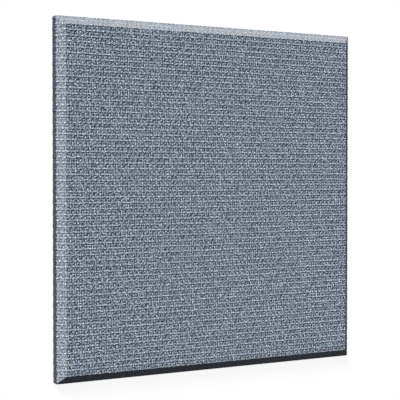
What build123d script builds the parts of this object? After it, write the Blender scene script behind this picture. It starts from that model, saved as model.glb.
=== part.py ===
from build123d import *
import os
from math import hypot

# Fabric-wrapped acoustic ceiling panel with a bevelled edge, lying on its back.
# Millimetres. Origin at the centre of the back, on the surface that the panel lies on.
# +Z points out of the fabric face, +X across the panel and +Y along it, towards its top edge.

INCH = 25.4

# Finished panel, measured over its cover
panel_width = 24 * INCH
panel_length = 24 * INCH
panel_thickness = 1 * INCH
bevel_run = 0.5 * INCH  # in from the edge, across the face
bevel_drop = 0.5 * INCH  # down from the face, along the edge

# Woven cover, one piece of cloth turned onto the back
fabric_thickness = 0.9
return_width = 1.5 * INCH  # from the panel's edge to the cloth's cut edge
mitre_gap = 1.6  # between two turned flaps at a back corner
mitre_land = 10.0  # cloth left whole round a back corner, along the diagonal

# Board inside the cover
board_edge_radius = 0.4

cutter_height = 2 * fabric_thickness  # centred on the back, so it reaches just through the cloth


def bevelled_block(inset):
    """The finished outline with every flat face moved in by inset, sharp at its edges."""
    run_share = inset / bevel_run
    drop_share = inset / bevel_drop
    kept = 1 + hypot(run_share, drop_share) - run_share - drop_share
    block = Pos(0, 0, inset) * Box(
        panel_width - 2 * inset,
        panel_length - 2 * inset,
        panel_thickness - 2 * inset,
        align=(Align.CENTER, Align.CENTER, Align.MIN),
    )
    face = block.faces().sort_by(Axis.Z)[-1]
    return chamfer(
        face.edges(), length=kept * bevel_run, length2=kept * bevel_drop, reference=face
    )


def rounded_block(inset, radius):
    """The block with its flat faces moved in by inset and every edge rounded."""
    return offset(bevelled_block(inset + radius), amount=radius, kind=Kind.ARC)


def back_window():
    """The opening that the turned edges of the cloth leave on the back."""
    width = panel_width - 2 * return_width
    length = panel_length - 2 * return_width
    return Box(width, length, cutter_height)


def mitre_cuts():
    """A slot on each back corner's diagonal, where two turned flaps meet."""
    reach = hypot(return_width, return_width) - mitre_land
    slot = Box(2 * reach, mitre_gap, cutter_height)
    window_corner_x = panel_width / 2 - return_width
    window_corner_y = panel_length / 2 - return_width
    return [
        Pos(side_x * window_corner_x, side_y * window_corner_y)
        * Rot(0, 0, side_x * side_y * 45)
        * slot
        for side_x in (-1, 1)
        for side_y in (-1, 1)
    ]


def make_board():
    """Rigid glass-fibre board, bevelled on its four face edges."""
    return rounded_block(fabric_thickness, board_edge_radius)


def make_fabric(board):
    """Cloth glued over the face, bevels and edges, and turned onto the back."""
    outer = rounded_block(0, board_edge_radius + fabric_thickness)
    return outer - board - back_window() - mitre_cuts()


board = make_board()
pieces = {"glass_fibre_board": board, "fabric_wrap": make_fabric(board)}

os.makedirs("parts", exist_ok=True)
for name, piece in pieces.items():
    export_step(piece, f"parts/{name}.step")
    print(name, len(piece.solids()), "solid", round(piece.volume), "mm3", piece.bounding_box())
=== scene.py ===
from collections import namedtuple
from math import cos, pi, radians, sin, sqrt, tan

import bmesh
import bpy
from mathutils import Matrix, Vector, noise


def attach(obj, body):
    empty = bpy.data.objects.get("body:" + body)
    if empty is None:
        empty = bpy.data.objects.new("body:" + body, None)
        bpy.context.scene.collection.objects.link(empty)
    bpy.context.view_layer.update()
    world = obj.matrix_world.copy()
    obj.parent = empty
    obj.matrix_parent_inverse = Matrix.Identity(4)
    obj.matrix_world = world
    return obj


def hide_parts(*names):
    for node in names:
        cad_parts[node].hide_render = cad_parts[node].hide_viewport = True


# Fabric-wrapped acoustic ceiling panel, lying on its back with its cloth face up.
# Metres. +X across the panel, +Y towards its top edge, +Z out of the face.

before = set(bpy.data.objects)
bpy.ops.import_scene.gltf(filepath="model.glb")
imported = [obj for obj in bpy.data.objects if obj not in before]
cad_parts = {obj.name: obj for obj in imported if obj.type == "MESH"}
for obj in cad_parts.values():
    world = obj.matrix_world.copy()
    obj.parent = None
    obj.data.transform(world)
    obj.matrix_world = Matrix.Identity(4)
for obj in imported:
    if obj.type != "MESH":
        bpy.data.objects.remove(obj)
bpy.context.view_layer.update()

MM = 0.001
same_place = 0.01 * MM

# The wrapped panel, as packed
panel_size = 609.6 * MM
panel_thickness = 25.4 * MM
bevel_run = 12.7 * MM
return_width = 38.1 * MM
cloth_thickness = 0.9 * MM
edge_radius = 1.3 * MM
mitre_gap = 1.6 * MM
mitre_land = 10.0 * MM

# How the cloth lies on the board
back_radius = 0.5 * MM  # of its bend onto the back
wall_proud = 0.5 * MM  # how far it stands out over the straight edges
board_clearance = 0.02 * MM
corner_ease = 60 * MM  # how far from a corner the cloth begins to spread
corner_rounding = 0.55 * MM
cut_raggedness = 0.5 * MM
cut_length = 5 * MM
aside_place = 0.03  # of its hidden inner side, in a spare corner of the blank
aside_scale = 0.05

# The weave, in repeats of two warp ends by one pair of picks
ends_over_face = 129
picks_over_face = 61
arris_tangent = edge_radius * tan(radians(22.5))
face_half = panel_size / 2 - bevel_run - arris_tangent
repeat_width = 4 * face_half / ends_over_face
repeat_height = 2 * face_half / picks_over_face
steps_per_end = 2
steps_per_pick = 4

# What shows in one repeat of the weave. Each mark has its place from the middle of the
# repeat, across and along, its half width and half length, and how far it stands up.
# A mark's rise also sets its colour: the knot's paleness is partly painted highlight, the hole's
# darkness partly painted shadow of the knot
weave_marks = {
    "knot": (-0.05, 0.00, 0.17, 0.15, 0.70),
    "float": (0.06, -0.58, 0.13, 0.26, 0.30),
    "hole": (0.18, -0.26, 0.27, 0.15, -2.20),
    "slot": (-0.16, -0.57, 0.17, 0.34, -0.79),
}

# The two picks of a repeat, each with its place along it, its half width and its height
thick_pick = (0.00, 0.13, 0.14)
thin_pick = (-0.44, 0.12, 0.11)
base_level = 0.398  # of the cloth between them

# How far marks stray, in repeats, and how much their heights and those of the picks vary
stray_x = 0.14
stray_y = 0.08
stray_height = 1.2
pick_stray = 0.3

# Slow drift of the whole weave, and the bends and slubs of its picks, per mm
drift_amount = 0.1
drift_scale = 1.3
slub_bend = 0.12
slub_across = 0.30
slub_along = 0.1

# Half widths of the round yarns, in repeats, and how far they show
end_half = 0.24
float_half = 0.40
thick_half = 0.27
thin_half = 0.20
yarn_middle = 0.6
yarn_gain = 0.2

# Fibres: how often they change along and across a yarn, per mm, and how far they slant
strand_length = 0.3
strand_count = 1.2
twist = 0.25
fine_gain = 1.0
fine_spread = 0.3
smoothest = 0.75
roughest = 0.95

# Uneven dye, and the faint rib over every warp end
grit_scale = 0.45
grit_gain = 1.1
grit_shift = 3.7
ridge_place = 0.051
ridge_gain = 0.049

# Depth of the drawn relief and of the finer relief in the cloth's finish
relief_depth = 0.65 * MM
relief_level = 0.55
ground_height = 0.5
mark_spread = 1.4
bevel_tautness = 0.5
bump_depth = 0.46 * MM
low_height = -1.5
high_height = 1.8
yarn_bump = 0.8
fibre_bump = 0.4

# How far the yarns wander from a straight grid
wander_across = 0.45 * MM
wander_along = 0.35 * MM
wander_length = 34 * MM
wander_shift = (7.3, 2.1, 5.7)
edge_hold = 16 * MM

# The cloth's colours, from its hollows to its highest fibres: partly yarn colour, partly painted
# shade in the hollows and painted highlight on the tops
dark = (0.006, 0.018, 0.040, 1.0)
mid = (0.173, 0.2225, 0.278, 1.0)
light = (0.660, 0.742, 0.835, 1.0)
hollow_tone = 0.12
deepest_tone = -0.3
palest_tone = 1.2

# Painted highlight brightens the left and top bevels, and painted shade darkens a bevel, a wall or
# the rim of the face. Each side has the painted highlight of its bevel, and the painted shade of its
# bevel, of its wall and of its rim.
side_tones = {
    "left": (0.7, 0.0, 1.0, 0.0),
    "right": (0.0, 1.0, 0.0, 1.0),
    "top": (1.0, 0.0, 0.0, 0.0),
    "bottom": (0.0, 0.95, 0.0, 0.57),
}
highlight_fill = 0.4  # how far the painted highlight fills the hollows
highlight_cover = 0.5
highlight_lift = 0.07
highlight_tint = (1.22, 1.08, 1.01, 1.0)
highlight_grey = 0.12
highlight_grey_tone = 0.46
# Painted shade: tint, contrast and drop of the darkening on the right and bottom bevels, the left
# wall and the rims
shade_tint = (0.14, 0.175, 0.21, 1.0)
shade_contrast = 1.4
shade_drop = 0.05

# Glass wool: how often its fibres change along, across and through the board, per metre
wool_run = 40
wool_pack = 420
wool_layers = 300
wool_clumps = 60.0
wool_relief = 0.6 * MM
wool_low = 0.35
wool_high = 0.7
wool_dark = (0.36, 0.26, 0.09, 1)
wool_mid = (0.62, 0.50, 0.24, 1)
wool_light = (0.80, 0.72, 0.45, 1)

# Light, floor and camera
world_light = 0.045
floor_size = 20
floor_drop = 0.5 * MM
floor_bounce = 0.15
shadow_share = 0.08
key_power = 6.4
key_width = 18
towards_key = (-0.90, 1.35, 0.92)  # low over the panel's top left corner
fill_power = 0.6  # so that the two far sides aren't black
fill_width = 40
towards_fill = (0.90, -1.35, 0.15)
camera_lens = 108.33
camera_yaw = radians(31.458)
camera_pitch = radians(1.3546)
camera_place = (-1.1391, 0.0478, 1.8319)


class Number:
    """A value that changes over a surface, used in sums like a plain number."""

    def __init__(self, finish, socket):
        self.finish = finish
        self.socket = socket

    def __add__(self, other):
        return self.finish.math("ADD", self, other)

    __radd__ = __add__

    def __sub__(self, other):
        return self.finish.math("SUBTRACT", self, other)

    def __rsub__(self, other):
        return self.finish.math("SUBTRACT", other, self)

    def __mul__(self, other):
        return self.finish.math("MULTIPLY", self, other)

    __rmul__ = __mul__

    def __truediv__(self, other):
        return self.finish.math("DIVIDE", self, other)


class Finish:
    """The nodes of a material or of the world, and the one way they are made."""

    def __init__(self, owner):
        owner.use_nodes = True
        self.owner = owner
        self.tree = owner.node_tree
        self.tree.nodes.clear()

    def node(self, kind, settings=None, sockets=None):
        made = self.tree.nodes.new(kind)
        for name, value in (settings or {}).items():
            if name == "stops":
                self.set_stops(made.color_ramp, value)
            else:
                setattr(made, name, value)
        for name, value in (sockets or {}).items():
            self.feed(made.inputs[name], value)
        return made

    def set_stops(self, ramp, stops):
        while len(ramp.elements) < len(stops):
            ramp.elements.new(1.0)
        for element, (position, colour) in zip(ramp.elements, stops):
            element.position = position
            element.color = colour

    def feed(self, socket, value):
        if isinstance(value, Number):
            value = value.socket
        if isinstance(value, bpy.types.NodeSocket):
            self.tree.links.new(value, socket)
        else:
            socket.default_value = value

    def number(self, kind, settings, sockets, output=0):
        return Number(self, self.node(kind, settings, sockets).outputs[output])

    def math(self, operation, *values):
        return self.number("ShaderNodeMath", {"operation": operation}, dict(enumerate(values)))

    def rise(self, value, low, high, bottom=0.0, top=1.0):
        """A smooth step from bottom to top as value goes from low to high."""
        sockets = {"Value": value, "From Min": low, "From Max": high, "To Min": bottom, "To Max": top}
        return self.number("ShaderNodeMapRange", {"interpolation_type": "SMOOTHSTEP"}, sockets)

    def vector(self, x, y, z=0.0):
        return self.node("ShaderNodeCombineXYZ", {}, {"X": x, "Y": y, "Z": z}).outputs[0]

    def parts(self, vector):
        split = self.node("ShaderNodeSeparateXYZ", {}, {0: vector})
        return [Number(self, socket) for socket in split.outputs]

    def blend(self, share, first, second, way="MIX"):
        """Colours first and second, mixed by share."""
        settings = {"data_type": "RGBA", "blend_type": way}
        return self.node("ShaderNodeMix", settings, {0: share, 6: first, 7: second}).outputs[2]

    def scatter(self, place, scale, detail=2.0, roughness=0.5, dimensions="3D"):
        """Soft noise from 0 to 1 at a place."""
        sockets = {"Vector": place, "Scale": scale, "Detail": detail, "Roughness": roughness}
        return self.number("ShaderNodeTexNoise", {"noise_dimensions": dimensions}, sockets)

    def attribute(self, name):
        return self.number("ShaderNodeAttribute", {"attribute_name": name}, {}, "Fac")

    def output(self, shader):
        self.node("ShaderNodeOutputMaterial", {}, {"Surface": shader})
        return self.owner


def new_finish(name):
    return Finish(bpy.data.materials.new(name))


def grey(level):
    return (level, level, level, 1.0)


def weave_height(across, along):
    """Height of the cloth's surface, near 0 in the holes between yarns and near 1 on a knot."""
    height = ground_height
    for place, half, rise in (thick_pick, thin_pick):
        beside = along - 0.5 - place
        height += rise * soft_top((beside - round(beside)) / half, 0)
    for place_x, place_y, half_x, half_y, rise in weave_marks.values():
        beside_y = along - 0.5 - place_y
        row = round(beside_y)
        beside_x = across - place_x - row / 2
        beside_x -= round(beside_x)
        share_x = beside_x / half_x / mark_spread
        share_y = (beside_y - row) / half_y / mark_spread
        height += rise * soft_top(share_x, share_y)
    return min(1.0, max(0.0, height))


def soft_top(share_x, share_y):
    """1 in the middle of a rounded mark and 0 at its rim."""
    return max(0.0, 1 - share_x * share_x - share_y * share_y) ** 2


Station = namedtuple("Station", "half height out up used on_bevel on_wall on_back")


def cloth_stations():
    """Places down the side of the panel, from the face's edge to the cloth's cut edge.

    Each is half size, height, the outward normal's two parts, the cloth used so far,
    and how far the place is onto the bevel, the wall and the back.
    """
    bevel_flat = bevel_run * sqrt(2) - 2 * arris_tangent
    wall_flat = panel_thickness - bevel_run - arris_tangent - back_radius
    return_flat = return_width - back_radius
    half, height, turn, used = face_half, panel_thickness, 0.0, 0.0
    # Each leg is a bend in degrees or a flat stretch, its steps, and what it belongs to
    legs = [
        ("bend", 45, 2, (1, 0, 0)),
        ("flat", bevel_flat, 7, (1, 0, 0)),
        ("bend", 45, 2, (0, 1, 0)),
        ("flat", wall_flat, 4, (0, 1, 0)),
        ("bend", 90, 3, (0, 1, 0)),
        ("flat", return_flat, 8, (0, 0, 1)),
    ]
    stations = [Station(half, height, 0.0, 1.0, 0.0, 0, 0, 0)]
    for kind, amount, steps, place in legs:
        for _ in range(steps):
            if kind == "flat":
                half += cos(turn) * amount / steps
                height += sin(turn) * amount / steps
                used += amount / steps
            else:
                radius = back_radius if amount == 90 else edge_radius
                middle = (half + sin(turn) * radius, height - cos(turn) * radius)
                turn -= radians(amount / steps)
                half = middle[0] - sin(turn) * radius
                height = middle[1] + cos(turn) * radius
                used += radius * radians(amount / steps)
            stations.append(Station(half, height, -sin(turn), cos(turn), used, *place))
    return stations


def at_edge(home):
    return abs(abs(home) - face_half) < same_place


def eased(home, half):
    """Place along a side: cloth near a corner spreads to reach the next side."""
    share = max(0.0, (abs(home) - face_half + corner_ease) / corner_ease)
    return home + (half - face_half) * share * (1 if home > 0 else -1)


def hold(home):
    """Yarns wander less and less towards the edge they run beside."""
    share = min(1.0, (face_half - abs(home)) / edge_hold)
    return share * share * (3 - 2 * share)


def wander(home_x, home_y):
    """How far the yarns stray from a straight grid."""
    spot = Vector((home_x / wander_length, home_y / wander_length, 0.0))
    return (
        wander_across * noise.noise(spot) * hold(home_x),
        wander_along * noise.noise(spot + Vector(wander_shift)) * hold(home_y),
    )


class Cover:
    """The cloth as one mesh: face, bevels, walls and returns, closed by its inner side."""

    def __init__(self):
        self.mesh = bmesh.new()
        self.home = self.mesh.verts.layers.float_vector.new("home")
        self.grain = self.mesh.loops.layers.uv.new("weave")
        self.layout = self.mesh.loops.layers.uv.new("OFBake")
        self.nap = self.mesh.verts.layers.float.new("nap")
        self.shade = self.mesh.verts.layers.float.new("shade")
        self.stations = cloth_stations()

    def build(self):
        self.lay_face()
        self.wrap_sides()
        self.open_mitres()
        self.draw_weave()
        self.place_cloth()
        self.close_inside()

    def lay_face(self):
        columns = ends_over_face * steps_per_end
        rows = picks_over_face * steps_per_pick
        bmesh.ops.create_grid(self.mesh, x_segments=columns, y_segments=rows, size=face_half)
        for vert in self.mesh.verts:
            vert[self.home] = (vert.co.x, vert.co.y, 0)

    def wrap_sides(self):
        ring = self.open_edges()
        for level in range(1, len(self.stations)):
            fresh, ring = self.grow(ring)
            for vert in fresh:
                vert[self.home].z = level

    def open_edges(self):
        return [edge for edge in self.mesh.edges if edge.is_boundary]

    def grow(self, ring):
        """Extrudes a ring of edges. Returns its new points and its new edges."""
        grown = bmesh.ops.extrude_edge_only(self.mesh, edges=ring)["geom"]
        fresh = {item for item in grown if isinstance(item, bmesh.types.BMVert)}
        edges = [item for item in grown if isinstance(item, bmesh.types.BMEdge)]
        return fresh, [edge for edge in edges if fresh.issuperset(edge.verts)]

    def open_mitres(self):
        """Cuts the returns apart along each back corner's diagonal."""
        first = next(
            level
            for level, station in enumerate(self.stations)
            if station.on_back and (panel_size / 2 - station.half) * sqrt(2) > mitre_land
        )
        slits = [
            edge
            for edge in self.mesh.edges
            if all(self.is_corner(vert) and round(vert[self.home].z) >= first for vert in edge.verts)
        ]
        bmesh.ops.split_edges(self.mesh, edges=slits)
        self.first_slit = first

    def is_corner(self, vert):
        home = vert[self.home]
        return home.z > 0.5 and at_edge(home.x) and at_edge(home.y)

    def side(self, face):
        """0 where the cloth goes over the left or right edge, 1 over the others, or None."""
        homes = [vert[self.home] for vert in face.verts]
        if max(home.z for home in homes) < 0.5:
            return None
        return 0 if all(at_edge(home.x) for home in homes) else 1

    def flat_place(self, home, side):
        """Where a point of the cloth lies on the flat blank."""
        if side is None or home.z < 0.5:
            return home.x, home.y
        station = self.stations[round(home.z)]
        flat = [eased(home.x, station.half), eased(home.y, station.half)]
        flat[side] = (face_half + station.used) * (1 if home[side] > 0 else -1)
        return flat

    def draw_weave(self):
        blank_half = face_half + self.stations[-1].used
        for face in self.mesh.faces:
            side = self.side(face)
            for loop in face.loops:
                across, along = self.flat_place(loop.vert[self.home], side)
                loop[self.grain].uv = (across / repeat_width, along / repeat_height)
                loop[self.layout].uv = (0.5 + across / blank_half / 2, 0.5 + along / blank_half / 2)

    def place_cloth(self):
        for vert in self.mesh.verts:
            home = vert[self.home].copy()
            level = round(home.z)
            sides = {self.side(face) for face in vert.link_faces}
            self.tone_place(vert, home, level)
            spot, normal = self.smooth_place(home, level)
            if self.is_corner(vert):
                self.ease_corner(spot, level, sides)
            if level == len(self.stations) - 1:
                self.fray(spot, home)
            vert.co = spot - normal.normalized() * self.sunk(home, level, sides)

    def smooth_place(self, home, level):
        """Where a point of the cloth lies without its weave, and the way it faces."""
        station = self.stations[level]
        half = station.half + wall_proud * station.on_wall * station.out
        stray = wander(home.x, home.y)
        spot = Vector((0, 0, station.height))
        normal = Vector((0, 0, station.up))
        for axis in range(2):
            sign = 1 if home[axis] > 0 else -1
            if level and at_edge(home[axis]):
                spot[axis] = sign * half
                normal[axis] = sign * station.out
            else:
                spot[axis] = eased(home[axis], station.half) + stray[axis]
        return spot, normal

    def sunk(self, home, level, sides):
        """How far the weave lets the surface down at a point of the cloth."""
        station = self.stations[level]
        heights = []
        for side in sides:
            across, along = self.flat_place(home, side)
            heights.append(weave_height(across / repeat_width, along / repeat_height))
        highest = 1 if station.on_back else relief_level
        taut = 1 - bevel_tautness * station.on_bevel
        return relief_depth * taut * (highest - sum(heights) / len(heights))

    def tone_place(self, vert, home, level):
        """Sets how much painted highlight and how much painted shade a point of the cloth has."""
        station = self.stations[level]
        bevel_painted_highlight, bevel_shade, wall_shade, rim_shade = self.side_tone(home)
        shade = station.on_bevel * bevel_shade + station.on_wall * wall_shade
        vert[self.nap] = station.on_bevel * bevel_painted_highlight
        vert[self.shade] = shade if level else rim_shade

    def side_tone(self, home):
        """The tones of the side that a point is on, or the mean of two sides' tones."""
        sides = []
        if at_edge(home.x):
            sides.append("left" if home.x < 0 else "right")
        if at_edge(home.y):
            sides.append("top" if home.y > 0 else "bottom")
        if not sides:
            return 0.0, 0.0, 0.0, 0.0
        tones = [side_tones[side] for side in sides]
        return [sum(parts) / len(tones) for parts in zip(*tones)]

    def ease_corner(self, spot, level, sides):
        """Rounds the corner between two sides, and parts the two flaps on the back."""
        out = self.stations[level].out
        for axis in range(2):
            spot[axis] -= corner_rounding * out * (1 if spot[axis] > 0 else -1)
        if level > self.first_slit and len(sides) == 1:
            along = 1 - next(iter(sides))
            spot[along] -= mitre_gap / sqrt(2) * (1 if spot[along] > 0 else -1)

    def fray(self, spot, home):
        """The cut edge strays a little from a straight line."""
        side = 0 if at_edge(home.x) else 1
        ragged = noise.noise(Vector((home.x, home.y, 3.0)) / cut_length)
        spot[side] += cut_raggedness * ragged

    def close_inside(self):
        """Gives the cut edge its thickness and adds the cloth's inner side."""
        inside = cloth_thickness - board_clearance
        fresh, rim = self.grow(self.open_edges())
        for vert in fresh:
            vert.co.z = inside
        liner = self.make_liner(inside)
        filled = bmesh.ops.triangle_fill(
            self.mesh, use_beauty=False, use_dissolve=False, edges=rim + liner, normal=(0, 0, 1)
        )["geom"]
        for item in filled:
            if isinstance(item, bmesh.types.BMFace):
                self.lay_aside(item)
        bmesh.ops.recalc_face_normals(self.mesh, faces=self.mesh.faces)

    def make_liner(self, inset):
        """The cloth's inner side over the board. Returns its open bottom edges."""
        cube = bmesh.ops.create_cube(self.mesh, size=1)["verts"]
        size = panel_size - 2 * inset
        height = panel_thickness - 2 * inset
        bmesh.ops.scale(self.mesh, vec=(size, size, height), verts=cube)
        bmesh.ops.translate(self.mesh, vec=(0, 0, inset + height / 2), verts=cube)
        top = {vert for vert in cube if vert.co.z > panel_thickness / 2}
        rim = [edge for edge in self.mesh.edges if top.issuperset(edge.verts)]
        bottom = [vert for vert in cube if vert not in top]
        chamfer = bevel_run + inset * (sqrt(2) - 2)
        bmesh.ops.bevel(
            self.mesh, geom=rim, offset=chamfer, segments=1, affect="EDGES", profile=0.5, material=-1
        )
        open_face = next(
            face for face in bottom[0].link_faces if all(vert in bottom for vert in face.verts)
        )
        edges = list(open_face.edges)
        bmesh.ops.delete(self.mesh, geom=[open_face], context="FACES_ONLY")
        inner = {face for vert in bottom for face in vert.link_faces}
        grown = True
        while grown:
            near = {other for face in inner for edge in face.edges for other in edge.link_faces}
            grown = near - inner
            inner |= near
        for face in inner:
            self.lay_aside(face)
        return edges

    def lay_aside(self, face):
        """Gives a hidden inner face its weave and a small place of its own on the blank."""
        for loop in face.loops:
            spot = loop.vert.co
            loop[self.grain].uv = (spot.x / repeat_width, spot.y / repeat_height)
            loop[self.layout].uv = (
                aside_place + spot.x * aside_scale,
                aside_place + spot.y * aside_scale,
            )


def piece(name, mesh, finish):
    """Turns a bmesh into an object at the origin."""
    data = bpy.data.meshes.new(name)
    mesh.to_mesh(data)
    mesh.free()
    made = bpy.data.objects.new(name, data)
    bpy.context.scene.collection.objects.link(made)
    data.materials.append(finish)
    return made


def make_cover(finish):
    cover = Cover()
    cover.build()
    for face in cover.mesh.faces:
        face.smooth = True
    return piece("woven_cover", cover.mesh, finish)


def woven_cloth():
    """Slate-blue heather cloth: ends that float over a thick and a thin pick in turn."""
    cloth = new_finish("woven_cloth")
    across, along = weave_place(cloth)
    x, y = across * (repeat_width / MM), along * (repeat_height / MM)
    yarn, upright = yarn_tops(cloth, across, along)
    fine = strands(cloth, x, y, upright)
    grit = cloth.scatter(cloth.vector(x + grit_shift, y), grit_scale, 0.0, 0.5, "2D") - 0.5
    ridge = cloth.math("COSINE", (across - ridge_place) * (4 * pi))
    level = weave_level(cloth, across, along, x, y)
    level = level + fine * fine_gain + (yarn - yarn_middle) * yarn_gain
    level = level + grit * grit_gain + ridge * ridge_gain
    shader = cloth.node(
        "ShaderNodeBsdfPrincipled",
        {},
        {
            "Base Color": cloth_colour(cloth, level, fine),
            "Roughness": cloth.rise(fine, -fine_spread, fine_spread, smoothest, roughest),
            "Normal": cloth_bump(cloth, level, yarn, fine),
            "Specular IOR Level": 0.3,
            "Sheen Weight": 0.04,
            "Sheen Roughness": 0.5,
        },
    ).outputs[0]
    return cloth.output(shader)


def weave_place(finish):
    """Where a point lies in the weave, in repeats across and along, a little adrift."""
    grain = finish.node("ShaderNodeUVMap", {"uv_map": "weave"}).outputs[0]
    straight_across, straight_along, _ = finish.parts(grain)
    drift = finish.node(
        "ShaderNodeTexNoise",
        {"noise_dimensions": "2D"},
        {"Vector": grain, "Scale": drift_scale, "Detail": 1.0, "Roughness": 0.5},
    ).outputs["Color"]
    drift_across, drift_along, _ = finish.parts(drift)
    across = straight_across + (drift_across - 0.5) * drift_amount
    along = straight_along + (drift_along - 0.5) * drift_amount - 0.5
    return across, along


def weave_level(finish, across, along, x, y):
    """How high the weave stands at a place: its two picks and then its marks."""
    level = base_level
    for place, half, rise in (thick_pick, thin_pick):
        path = finish.vector(x * slub_across, y * slub_along, place)
        slub = finish.scatter(path, 1.0, 1.0, 0.5) - 0.5
        beside = along - place + slub * slub_bend
        beside = beside - finish.math("FLOOR", beside + 0.5)
        level = soft_spot(finish, beside / half, 0.0) * (1 + slub * (4 * pick_stray)) * rise + level
    for index, mark in enumerate(weave_marks.values()):
        level = level + weave_mark(finish, across, along, index, *mark)
    return level


def cloth_colour(finish, level, fine):
    """From dark hollows to pale fibres, partly yarn colour and partly painted shade and highlight,
    paler with painted highlight and darker with painted shade.
    """
    nap, shade = finish.attribute("nap"), finish.attribute("shade")
    filled = finish.math("MAXIMUM", level, nap * highlight_fill + deepest_tone)
    tone = finish.math("MINIMUM", filled, palest_tone)
    # Painted shade: darker on the right and bottom bevels, the left wall and the right and bottom
    # rims of the face
    tone = tone + shade * ((tone - base_level) * shade_contrast - shade_drop)
    # Painted highlight: the left and top bevels get paler and flatter in tone
    tone = tone + nap * ((base_level - tone) * highlight_cover + highlight_lift)
    hollow = (fine * 2 + 0.5) * hollow_tone
    colour = finish.node(
        "ShaderNodeValToRGB",
        {"stops": [(0.0, dark), (0.5, mid), (1.0, light)]},
        {"Fac": finish.math("MAXIMUM", tone, hollow)},
    ).outputs[0]
    # Painted highlight: the left and top bevels turn warmer and greyer
    warmer = finish.blend(nap, colour, highlight_tint, "MULTIPLY")
    pale = finish.blend(nap * highlight_grey, warmer, grey(highlight_grey_tone))
    # Painted shade tints the shaded places dark blue
    return finish.blend(shade, pale, shade_tint, "MULTIPLY")


def cloth_bump(finish, level, yarn, fine):
    """The relief that is too fine for the mesh: marks, round yarns and fibres."""
    relief = finish.rise(level, low_height, high_height, low_height, high_height)
    relief = relief + yarn * yarn_bump + fine * fibre_bump
    sockets = {"Strength": 1.0, "Distance": bump_depth, "Height": relief}
    return finish.node("ShaderNodeBump", {}, sockets).outputs[0]


def nearest_repeat(finish, across, along):
    """How far a place is from the middle of its repeat, and which repeat that is."""
    row = finish.math("FLOOR", along + 0.5)
    beside = across - row * 0.5
    column = finish.math("FLOOR", beside + 0.5)
    return beside - column, along - row, column, row


def yarn_tops(finish, across, along):
    """Round yarns, 1 along their middles and 0 between them, and where an end is on top."""
    float_x, float_y = weave_marks["float"][:2]
    beside_x, beside_y, _, _ = nearest_repeat(finish, across - float_x, along - float_y)
    side, tip = beside_x / end_half, beside_y / float_half
    upright = finish.rise(soft_spot(finish, side * side, tip * tip), 0.0, 0.3)
    picks = 0.0
    for place, half in ((thick_pick[0], thick_half), (thin_pick[0], thin_half)):
        _, beside, _, _ = nearest_repeat(finish, across, along - place)
        share = beside / half
        picks = finish.math("MAXIMUM", picks, 1 - share * share)
    end = 1 - side * side
    return picks + (end - picks) * upright, upright


def strands(finish, x, y, upright):
    """Fibres that run along whichever yarn is on top."""
    level = fibres(finish, (x + y * twist) * strand_length, (y - x * twist) * strand_count)
    raised = fibres(finish, (x - y * twist) * strand_count, (y + x * twist) * strand_length)
    return level + (raised - level) * upright - 0.5


def fibres(finish, x, y):
    return finish.scatter(finish.vector(x, y), 1.0, 2.0, 0.6, "2D")


def weave_mark(finish, across, along, index, place_x, place_y, half_x, half_y, rise):
    """One mark of the weave, a little out of its place and height in every repeat."""
    beside_x, beside_y, column, row = nearest_repeat(finish, across - place_x, along - place_y)
    chance = finish.node(
        "ShaderNodeTexWhiteNoise",
        {"noise_dimensions": "3D"},
        {"Vector": finish.vector(column, row, index + 0.5)},
    ).outputs["Color"]
    chance_x, chance_y, strength = finish.parts(chance)
    share_x = (beside_x + (chance_x - 0.5) * (2 * stray_x)) / half_x
    share_y = (beside_y + (chance_y - 0.5) * (2 * stray_y)) / half_y
    height = (1 + (strength - 0.5) * (2 * stray_height)) * rise
    return soft_spot(finish, share_x, share_y) * height


def soft_spot(finish, share_x, share_y):
    """1 in the middle of a rounded mark and 0 at its rim."""
    inside = finish.math("MAXIMUM", 1 - share_x * share_x - share_y * share_y, 0.0)
    return inside * inside


def glass_wool():
    """Pressed glass-fibre board, pale mustard with crossed fibres."""
    wool = new_finish("glass_wool")
    place = wool.node("ShaderNodeTexCoord", {}).outputs["Object"]
    x, y, z = wool.parts(place)
    layers = z * wool_layers
    long_x = wool.scatter(wool.vector(x * wool_run, y * wool_pack, layers), 1.0, 5.0, 0.6)
    long_y = wool.scatter(wool.vector(x * wool_pack, y * wool_run, layers), 1.0, 5.0, 0.6)
    clump = wool.scatter(place, wool_clumps, 3.0)
    crossed = wool.math("MAXIMUM", long_x, long_y)
    colour = wool.node(
        "ShaderNodeValToRGB",
        {"stops": [(0.0, wool_dark), (0.5, wool_mid), (1.0, wool_light)]},
        {"Fac": wool.rise(crossed * 0.7 + clump * 0.3, wool_low, wool_high)},
    ).outputs[0]
    sockets = {"Strength": 0.8, "Distance": wool_relief, "Height": crossed + clump * 0.6}
    bump = wool.node("ShaderNodeBump", {}, sockets).outputs[0]
    sockets = {"Base Color": colour, "Roughness": 0.9, "Normal": bump}
    return wool.output(wool.node("ShaderNodeBsdfPrincipled", {}, sockets).outputs[0])


def seen_directly(finish):
    """1 for what the camera, a reflection or a clear surface sees, 0 for light on its way."""
    path = finish.node("ShaderNodeLightPath")
    camera, glossy, clear = (
        Number(finish, path.outputs[name])
        for name in ("Is Camera Ray", "Is Glossy Ray", "Is Transmission Ray")
    )
    return finish.math("MINIMUM", camera + glossy + clear, 1.0)


def studio_floor():
    """White to the eye, with the panel's soft shadow on it."""
    paint = new_finish("studio_floor")
    white = paint.node("ShaderNodeEmission", {}, {"Color": grey(1.0), "Strength": 1.0}).outputs[0]
    lit = paint.node("ShaderNodeBsdfDiffuse", {}, {"Color": grey(0.95)}).outputs[0]
    dull = paint.node("ShaderNodeBsdfDiffuse", {}, {"Color": grey(floor_bounce)}).outputs[0]
    seen = paint.node("ShaderNodeMixShader", {}, {0: shadow_share, 1: white, 2: lit}).outputs[0]
    both = paint.node("ShaderNodeMixShader", {}, {0: seen_directly(paint), 1: dull, 2: seen})
    return paint.output(both.outputs[0])


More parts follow.
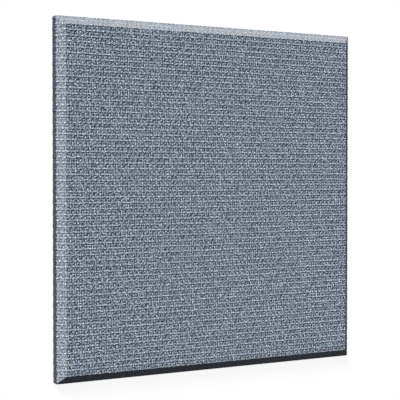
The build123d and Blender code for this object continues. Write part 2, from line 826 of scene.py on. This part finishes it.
def make_floor():
    mesh = bmesh.new()
    bmesh.ops.create_grid(mesh, x_segments=1, y_segments=1, size=floor_size)
    bmesh.ops.translate(mesh, vec=(0, 0, -floor_drop), verts=mesh.verts)
    made = piece("studio_floor", mesh, studio_floor())


def make_world():
    world = bpy.data.worlds.new("studio")
    bpy.context.scene.world = world
    sky = Finish(world)
    sockets = {"Value": seen_directly(sky), "To Min": world_light, "To Max": 1.0}
    strength = sky.number("ShaderNodeMapRange", {}, sockets)
    light = sky.node("ShaderNodeBackground", {}, {"Strength": strength}).outputs[0]
    sky.node("ShaderNodeOutputWorld", {}, {"Surface": light})


def make_lamp(name, power, width, towards):
    """A broad lamp far away, width degrees across."""
    lamp = bpy.data.lights.new(name, "SUN")
    lamp.energy = power
    lamp.angle = radians(width)
    made = bpy.data.objects.new(name, lamp)
    made.matrix_world = Vector(towards).to_track_quat("Z", "Y").to_matrix().to_4x4()
    bpy.context.scene.collection.objects.link(made)


def make_camera():
    """The photograph's view: from the left of the panel's middle, looking across it."""
    ahead = Vector(
        (
            sin(camera_yaw) * cos(camera_pitch),
            -sin(camera_pitch),
            -cos(camera_yaw) * cos(camera_pitch),
        )
    )
    right = Vector((cos(camera_yaw), 0, sin(camera_yaw)))
    turn = Matrix((right, right.cross(ahead), -ahead)).transposed().to_4x4()
    view = bpy.data.cameras.new("view")
    view.lens = camera_lens
    view.sensor_width = 36
    view.clip_end = 100
    made = bpy.data.objects.new("view", view)
    made.matrix_world = Matrix.Translation(camera_place) @ turn
    bpy.context.scene.collection.objects.link(made)
    bpy.context.scene.camera = made


make_camera()
make_world()
make_floor()
make_lamp("key", key_power, key_width, towards_key)
make_lamp("fill", fill_power, fill_width, towards_fill)
bpy.context.scene.view_settings.view_transform = "Standard"

cover = make_cover(woven_cloth())
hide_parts("fabric_wrap")
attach(cover, "root")
blank = 2 * (face_half + cloth_stations()[-1].used)

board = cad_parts["glass_fibre_board"]
wool = glass_wool()
for slot in board.material_slots:
    slot.material = wool
